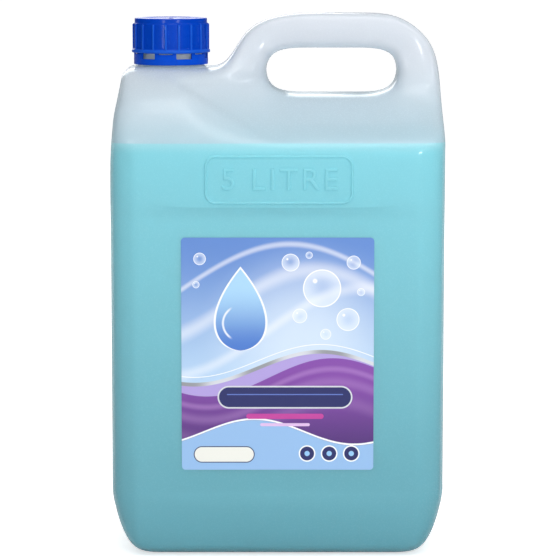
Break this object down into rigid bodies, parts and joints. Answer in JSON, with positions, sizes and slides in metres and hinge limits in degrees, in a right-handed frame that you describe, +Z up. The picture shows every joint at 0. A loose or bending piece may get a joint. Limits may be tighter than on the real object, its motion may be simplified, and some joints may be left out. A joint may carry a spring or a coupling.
{
  "type": "hand soap refill pack",
  "caption": "Five litre blow-moulded jerry can of liquid hand soap with an integral carry handle, ribbed screw cap, tamper ring and front label.",
  "frame": {"origin": "middle of the base, on the surface the pack stands on", "axes": "+Z up, +X towards the handle, -Y towards the labelled front"},
  "size_m": [0.182, 0.134, 0.295],
  "materials": {
    "bottle": "translucent natural polythene, satin",
    "soap": "pearly pale blue liquid",
    "cap": "royal blue moulded plastic, semi-gloss",
    "liner": "white closed-cell foam",
    "label": "printed film label, satin"
  },
  "bodies": {
    "pack": {"bottle": "bottle", "hand_soap": "soap", "tamper_ring": "cap", "front_label": "label"},
    "liner": {"cap_liner": "liner"},
    "cap": {"cap": "cap"}
  },
  "joints": [
    {"name": "cap_lift", "type": "slide", "parent": "pack", "child": "liner", "axis": [0, 0, 1], "range_m": [0, 0.0101]},
    {"name": "cap_turn", "type": "hinge", "parent": "liner", "child": "cap", "pos_m": [-0.0593, 0, 0.28], "axis": [0, 0, 1], "range_deg": [0, 900]}
  ],
  "couplings": [
    {"joint": "cap_lift", "follows": "cap_turn", "m_per_rad": 0.00063662}
  ]
}
